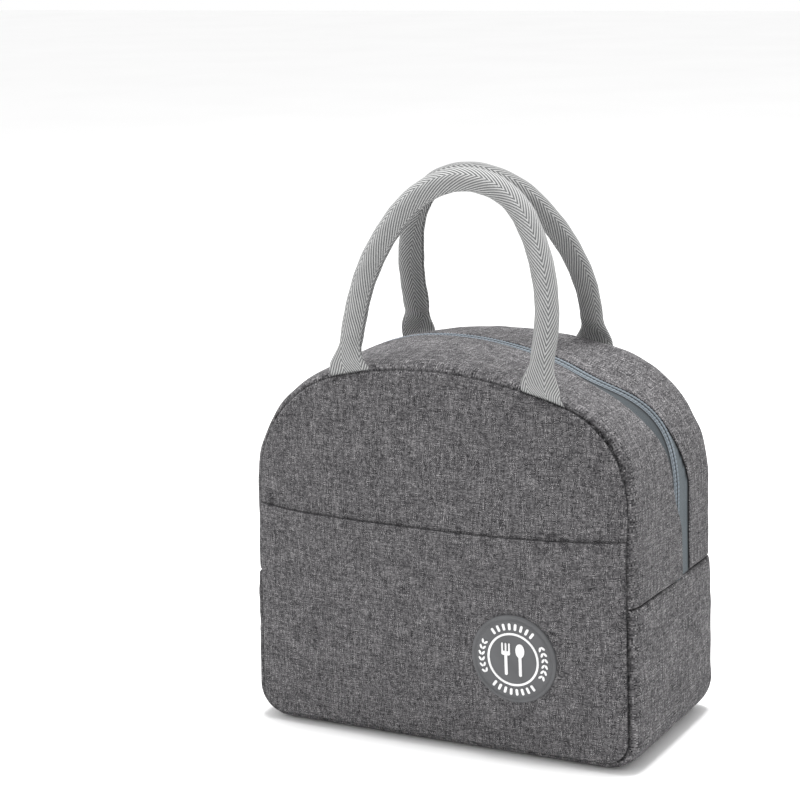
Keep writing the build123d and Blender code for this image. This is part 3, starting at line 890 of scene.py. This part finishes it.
def handle(word, side, lean, shift, skew):
    """Webbing folded round a core: flat feet held in the seam, an oval tube between them."""
    s, centre, outward, h = handle_centre(side, lean, shift, skew)
    outward, facing = handle_directions(centre, outward, side)
    to_tube = smooth(h, -1.0, 15.0)
    half_wide = FOOT_HALF_WIDTH + (TUBE_HALF_WIDTH - FOOT_HALF_WIDTH) * to_tube
    if side > 0:  # the left leg of the back handle is less rounded, and stands in a little
        leg = (s < s[-1] / 2) * (1 - smooth(h, 55, 85)) * smooth(h, 2, 20)
        half_wide = half_wide + 1.4 * leg
        centre[:, 0] += 1.7 * leg
    half_thick = FOOT_HALF_THICKNESS + (TUBE_HALF_THICKNESS - FOOT_HALF_THICKNESS) * smooth(h, 0.0, 20.0)
    fold = np.minimum(1.3, 0.6 * half_thick)  # thickness of the webbing, less where it is pressed flat
    around = np.arange(WEBBING_RING) * 2 * math.pi / WEBBING_RING
    power = 0.5 + 0.5 * to_tube
    ca, sa = np.cos(around)[None, :], np.sin(around)[None, :]
    across = np.sign(sa) * np.abs(sa) ** power[:, None]
    thick = np.sign(ca) * np.abs(ca) ** power[:, None]
    groove = bell(around, OVERLAP, 0.13)[None, :] * to_tube[:, None]
    size = 1 - 0.13 * groove
    along = s[:, None]
    wobble = 1 + 0.012 * np.sin(along * 0.21 + side) + 0.012 * np.sin(along * 0.47 + 3 * around[None])

    def layer(inset):
        """A face of the webbing at a depth inside its outer face, with its feet pressed into the top seam."""
        wide, thin = half_wide - inset, half_thick - inset
        points = (
            centre[:, None]
            + outward[:, None] * (wide[:, None] * across * size * wobble)[..., None]
            + facing[:, None] * (thin[:, None] * thick * size * wobble)[..., None]
        )
        above = points[..., 2] - arch_height(points[..., 0])
        in_seam = HALF_DEPTH - 1.4 + (points[..., 1] * side - HALF_DEPTH - HANDLE_OUT) * 0.6
        points[..., 1] = side * (in_seam + (points[..., 1] * side - in_seam) * smooth(above, -1.0, 9.0))
        return points

    outer, inner = layer(0 * fold), layer(fold)
    both = np.concatenate([outer.reshape(-1, 3), inner.reshape(-1, 3)])
    fabric = np.tile(webbing_fabric(s, outer, around, groove, side), (2, 1))
    obj = make_object(f"{word}_handle_cloth", both, two_layer_faces(len(s), WEBBING_RING), fabric)
    face_outwards(obj)
    dress(obj, WEBBING, "webbing", f"{word}_handle_webbing")
    cored = (h > CORE_LOW) & (s < s[-1])
    handle_cord(word, s[cored], centre[cored], outward[cored])
    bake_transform(obj)


# ---- badge ----
def pocket_face(x, z):
    """Depth of the pocket's outer face, away from its seams: as panel_sheet() and puckers() make it."""
    return -(HALF_DEPTH + POCKET_OUT + 0.8 + panel_bulge(x, z) + ripple(x, z, 12, 95.0, 0.42))


def stand_on_pocket(obj):
    """Moves a flat piece made about y = 0 onto the pocket's curved face."""

    def change(places):
        places[:, 1] = pocket_face(places[:, 0], places[:, 2]) - places[:, 1]
        return places

    move_points(obj, change)


BADGE_LOW, BADGE_HIGH = (np.array(v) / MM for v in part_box("badge_disc"))
BADGE_X = (BADGE_LOW[0] + BADGE_HIGH[0]) / 2
BADGE_Z = (BADGE_LOW[2] + BADGE_HIGH[2]) / 2
BADGE_RADIUS = (BADGE_HIGH[0] - BADGE_LOW[0]) / 2
BADGE_FACE = 1.55  # height of the badge's face above the pocket
RING_OUTER, RING_INNER = 15.2, 13.95
MARK_CIRCLE = 18.7  # the dashes and leaves lie on it
DASHES, DASH_SPREAD = 8, 74  # above and below the ring, and the angle that they cover
LEAF_PAIRS, LEAF_SPREAD = 6, 52


def turned(name, profile, segments=128):
    """A disc or ring turned from (radius, height) pairs about the badge's centre."""
    angle = np.arange(segments) * 2 * math.pi / segments
    r = np.array([p[0] for p in profile])[:, None]
    h = np.array([p[1] for p in profile])[:, None] + 0 * angle[None]
    points = np.stack([BADGE_X + r * np.cos(angle), h, BADGE_Z + r * np.sin(angle)], -1)
    return grid(name, points, None, ring=True, caps=True)


def badge():
    radius = BADGE_RADIUS
    edge = [(radius - 0.3, -0.6), (radius, 0.0), (radius, 0.9), (radius - 0.25, 1.45), (radius - 0.8, 1.7)]
    moat = [(radius - 1.6, 1.7), (radius - 1.9, 1.55), (radius - 2.2, 1.2), (radius - 2.6, 1.15)]
    field = [(radius - 3.0, 1.3), (radius - 3.4, 1.6)] + [(r, 1.6) for r in np.linspace(radius - 4, 0.05, 24)]
    disc = turned("badge_soft_disc", edge + moat + field)
    stand_on_pocket(disc)
    dress(disc, BADGE, "badge", "badge_disc")
    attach(disc, "bag_body")


def bar(cx, cz, width, height, corner, steps=6):
    """Outline of a rounded bar about a point of the badge."""
    corner = min(corner, width / 2, height / 2)
    points = []
    for k, (sx, sz) in enumerate(((1, 1), (-1, 1), (-1, -1), (1, -1))):
        for t in np.linspace(0, math.pi / 2, steps):
            a = k * math.pi / 2 + t
            x = sx * (width / 2 - corner) + corner * math.cos(a)
            z = sz * (height / 2 - corner) + corner * math.sin(a)
            points.append((cx + x, cz + z))
    return points


def raised(name, outlines, base, height, bevel=0.22):
    """Flat-topped raised shapes with a softened edge."""
    mesh = bmesh.new()
    for outline in outlines:
        ring = [mesh.verts.new((x * MM, base * MM, z * MM)) for x, z in outline]
        face = mesh.faces.new(ring)
        face.normal_update()
        lifted = bmesh.ops.extrude_face_region(mesh, geom=[face])["geom"]
        for v in lifted:
            if isinstance(v, bmesh.types.BMVert):
                v.co.y += height * MM
    bmesh.ops.recalc_face_normals(mesh, faces=mesh.faces)
    data = bpy.data.meshes.new(name)
    mesh.to_mesh(data)
    mesh.free()
    obj = bpy.data.objects.new(name, data)
    bpy.context.scene.collection.objects.link(obj)
    soften = obj.modifiers.new("edge", "BEVEL")
    soften.width, soften.segments, soften.limit_method = bevel * MM, 2, "ANGLE"
    return obj


def placed(outline, degrees):
    """An outline moved out to the badge's circle of marks, at an angle round it."""
    c, s = math.cos(math.radians(degrees)), math.sin(math.radians(degrees))
    moved = [(x + MARK_CIRCLE, z) for x, z in outline]
    return [(BADGE_X + c * x - s * z, BADGE_Z + s * x + c * z) for x, z in moved]


def leaf(across, lean, steps=20):
    """A small leaf beside a stem that runs along the circle."""
    c, s = math.cos(math.radians(lean)), math.sin(math.radians(lean))
    turn = np.linspace(0, 2 * math.pi, steps, endpoint=False)
    flat = [(0.62 * math.cos(a), 1.35 * math.sin(a)) for a in turn]
    return [(across + c * x - s * z, s * x + c * z) for x, z in flat]


def emblem():
    """A ring round a plain fork and spoon, with dashes above and below it and leaves beside it."""
    low, high = BADGE_FACE - 0.3, BADGE_FACE + 0.3
    outer = [(RING_OUTER, low), (RING_OUTER, high), (RING_OUTER - 0.2, BADGE_FACE + 0.5)]
    inner = [(RING_INNER + 0.2, BADGE_FACE + 0.5), (RING_INNER, high), (RING_INNER, low)]
    ring = turned("badge_ring", outer + inner)
    stand_on_pocket(ring)
    fork_x, spoon_x = BADGE_X - 4.2, BADGE_X + 4.2
    shapes = [bar(fork_x, BADGE_Z - 3.1, 1.7, 12.4, 0.85), bar(fork_x, BADGE_Z + 3.3, 5.2, 2.4, 1.1)]
    shapes += [bar(fork_x + k * 2.05, BADGE_Z + 6.2, 1.0, 5.8, 0.5) for k in (-1, 0, 1)]
    shapes.append(bar(spoon_x, BADGE_Z - 3.1, 1.7, 12.4, 0.85))
    turn = np.linspace(0, 2 * math.pi, 40, endpoint=False)
    shapes.append([(spoon_x + 2.6 * math.cos(a), BADGE_Z + 5.4 + 4.0 * math.sin(a)) for a in turn])
    for start in (53, 233):
        for k in range(DASHES):
            shapes.append(placed(bar(0, 0, 3.8, 1.5, 0.7), start + DASH_SPREAD * k / (DASHES - 1)))
    for start in (-26, 154):
        for k in range(LEAF_PAIRS):
            turned_by = start + LEAF_SPREAD * k / (LEAF_PAIRS - 1)
            shapes += [placed(leaf(0.95 * w, 32 * w), turned_by) for w in (-1, 1)]
    marks = raised("badge_marks", shapes, BADGE_FACE - 0.2, 0.7)
    stand_on_pocket(marks)
    for obj in (ring, marks):
        dress(obj, EMBLEM, "emblem")
        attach(obj, "bag_body")
    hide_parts("badge_emblem")


# ---- inside: foam, lining, bindings ----
INNER_INSET = 4.5  # of the boards and linings, inside the seam outline
INNER_HALF_DEPTH, INNER_ZIP_GAP = 54, 16  # where the strips over the top begin and end
BOARD_THICKNESS, TOP_FOAM_THICKNESS, FOIL_THICKNESS = 3.4, 3.0, 0.3
BINDING_INSET, BINDING_DEPTH, BINDING_RADIUS, BINDING_RING = 4.4, 55.4, 2.1, 12


def inner_panel(name, side, out, thickness, material, slot, nodes, word, seed):
    obj = panel_sheet(name, side, inset=INNER_INSET, out=out, step=5.0, seed=seed)
    solidify(obj, thickness)
    dress(obj, material, slot, *nodes)
    bends_with(obj)
    return obj


def inner_strip(name, rail, low, high, out, thickness, material, slot, nodes, word=None):
    """A strip of foam or lining that follows the gusset on the inside."""
    s = np.linspace(0.6, rail.length - 0.6, 120)
    y = np.linspace(low, high, 22)
    ss, yy = np.meshgrid(s, y, indexing="ij")
    level = np.full(ss.shape, float(out)) + crown(yy) - 4.8
    if slot == "foil_lining":
        level += ripple(ss, yy, 77, 30.0, 0.25)
    points = gusset_points(rail, ss, yy, level)
    fabric = np.stack([ss, yy, np.zeros_like(yy)], -1)
    obj = grid(name, points, fabric, flip=True)
    solidify(obj, thickness)
    dress(obj, material, slot, *nodes)
    if word is None:
        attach(obj, "bag_body")
    else:
        bends_with(obj)
    return obj


def seam_binding(word, side):
    """Tape bound round the raw edges inside each panel's seam."""
    upper = np.linspace(0, UPPER.length, 200)[:-1]
    lower = np.linspace(0, LOWER.length, 140)[:-1]
    top = np.stack(UPPER.at(upper), -1)
    bottom = np.stack(LOWER.at(lower), -1)
    loop = np.concatenate([top, bottom])
    x, z, nx, nz = loop.T
    depth = np.full(len(loop), side * BINDING_DEPTH)
    centre = np.stack([x - nx * BINDING_INSET, depth, z - nz * BINDING_INSET], -1)
    up = np.stack([nx, np.zeros(len(loop)), nz], -1)
    closed, closed_up = (np.concatenate([v[-1:], v, v[:1]]) for v in (centre, up))
    rings = tube(closed, BINDING_RADIUS, BINDING_RING, closed_up, flat=0.75)[1:-1]
    count = len(rings)
    faces = grid_faces(count, BINDING_RING, ring=True)
    last = (count - 1) * BINDING_RING
    for j in range(BINDING_RING):
        k = (j + 1) % BINDING_RING
        faces.append((last + j, last + k, k, j))
    run = np.cumsum(np.r_[0, np.linalg.norm(np.diff(centre, axis=0), axis=1)])
    around = np.tile(np.arange(BINDING_RING) * 1.0, count)
    fabric = np.stack([np.repeat(run, BINDING_RING), around, 0 * around], -1)
    obj = make_object(f"{word}_seam_binding_tape", rings.reshape(-1, 3), faces, fabric)
    dress(obj, BINDING, "binding", f"{word}_seam_binding")
    bends_with(obj)


def build_inside():
    board = (BOARD_THICKNESS, FOAM, "foam")
    top_foam = (TOP_FOAM_THICKNESS, FOAM, "foam")
    foil = (FOIL_THICKNESS, FOIL, "foil_lining")
    for word, side in HALVES:
        nodes = [f"{word}_foam_lower", f"{word}_foam_upper"]
        foam = inner_panel(f"{word}_foam_board", side, -0.9, *board, nodes, word, 51)
        lining = inner_panel(f"{word}_foil", side, -5.2, *foil, [f"{word}_lining"], word, 53)
        sewn_sheet(0.92 * outline_area())
        seam_binding(word, side)
        edges = sorted((side * INNER_HALF_DEPTH, side * INNER_ZIP_GAP))
        nodes = [f"zip_gusset_foam_{word}"]
        foam = inner_strip(f"{word}_top_foam", UPPER, *edges, 1.6, *top_foam, nodes, word)
        nodes = [f"zip_gusset_lining_{word}"]
        lining = inner_strip(f"{word}_top_foil", UPPER, *edges, -2.0, *foil, nodes, word)
        sewn_sheet()
    edges = (-INNER_HALF_DEPTH, INNER_HALF_DEPTH)
    foam = inner_strip("base_foam", LOWER, *edges, 2.4, *board, ["base_gusset_foam"])
    lining = inner_strip("base_foil", LOWER, *edges, -1.8, *foil, ["base_gusset_lining"])
    sewn_sheet()


# ---- slider and pull ----
def metal_parts():
    for node in ("zipper_slider", "zipper_pull"):
        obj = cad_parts[node]
        soften = obj.modifiers.new("edge", "BEVEL")
        soften.width, soften.segments, soften.limit_method = 0.3 * MM, 3, "ANGLE"
        dress(obj, METAL, "zip_metal")


# ---- studio ----
def camera():
    """Long lens, to the right of the front and a little above."""
    azimuth, elevation, distance = math.radians(25.47), math.radians(15.59), 1300.0
    yaw, pitch, roll = math.radians(2.07), math.radians(3.27), math.radians(0.71)
    target = Vector((0, 0, 110.0))
    level = math.cos(elevation)
    back = Vector((math.sin(azimuth) * level, -math.cos(azimuth) * level, math.sin(elevation)))
    forward = -back
    right = forward.cross(Vector((0, 0, 1))).normalized()
    up = right.cross(forward)
    turn = Matrix.Rotation(yaw, 3, up)
    forward, right = turn @ forward, turn @ right
    turn = Matrix.Rotation(pitch, 3, right)
    forward, up = turn @ forward, turn @ up
    turn = Matrix.Rotation(roll, 3, forward)
    right, up = turn @ right, turn @ up
    data = bpy.data.cameras.new("camera")
    data.sensor_width = 36.0
    data.lens = 101.9
    data.clip_end = 100.0
    obj = bpy.data.objects.new("camera", data)
    place = (target + back * distance) * MM
    axes = Matrix((right, up, -forward)).transposed().to_4x4()
    obj.matrix_world = Matrix.Translation(place) @ axes
    bpy.context.scene.collection.objects.link(obj)
    bpy.context.scene.camera = obj


def area_light(name, place, target, size, power):
    data = bpy.data.lights.new(name, "AREA")
    data.shape, data.size, data.energy = "DISK", size, power
    obj = bpy.data.objects.new(name, data)
    direction = Vector(target) - Vector(place)
    obj.location = place
    obj.rotation_euler = direction.to_track_quat("-Z", "Y").to_euler()
    bpy.context.scene.collection.objects.link(obj)


def studio():
    floor_mesh = bpy.data.meshes.new("floor")
    floor_mesh.from_pydata([(-8, -8, 0), (8, -8, 0), (8, 8, 0), (-8, 8, 0)], [], [(0, 1, 2, 3)])
    floor = bpy.data.objects.new("floor", floor_mesh)
    n = Nodes("floor")
    place = n.add("ShaderNodeTexCoord", output="Object")
    tone = n.ramp(n.noise(place, 3.0), [(0.3, (0.94, 0.94, 0.94)), (0.7, (0.96, 0.96, 0.96))])
    floor.data.materials.append(n.finish(tone, 0.9))
    bpy.context.scene.collection.objects.link(floor)
    world = bpy.data.worlds.new("studio")
    world.use_nodes = True
    background = world.node_tree.nodes["Background"]
    background.inputs["Color"].default_value = (1, 1, 1, 1)
    background.inputs["Strength"].default_value = 1.0
    bpy.context.scene.world = world
    bpy.context.scene.view_settings.view_transform = "Standard"
    area_light("top", (0.0, 0.15, 1.8), (0, 0, 0.1), 0.9, 46)
    area_light("left", (-1.3, -1.2, 0.9), (0, 0, 0.1), 0.9, 5)


for half_word, half_side in HALVES:
    panel(half_word, half_side)
build_pocket()
for half_word, half_side in HALVES:
    upper_gusset(half_word, half_side)
    zip_tape(half_word, half_side)
    zip_coil(half_word, half_side)
    zip_stitches(half_word, half_side)
base_gusset()
handle("front", -1, lean=14.0, shift=6.0, skew=0.05)
handle("back", 1, lean=22.0, shift=-14.0, skew=-0.02)
badge()
emblem()
build_inside()
metal_parts()
camera()
studio()
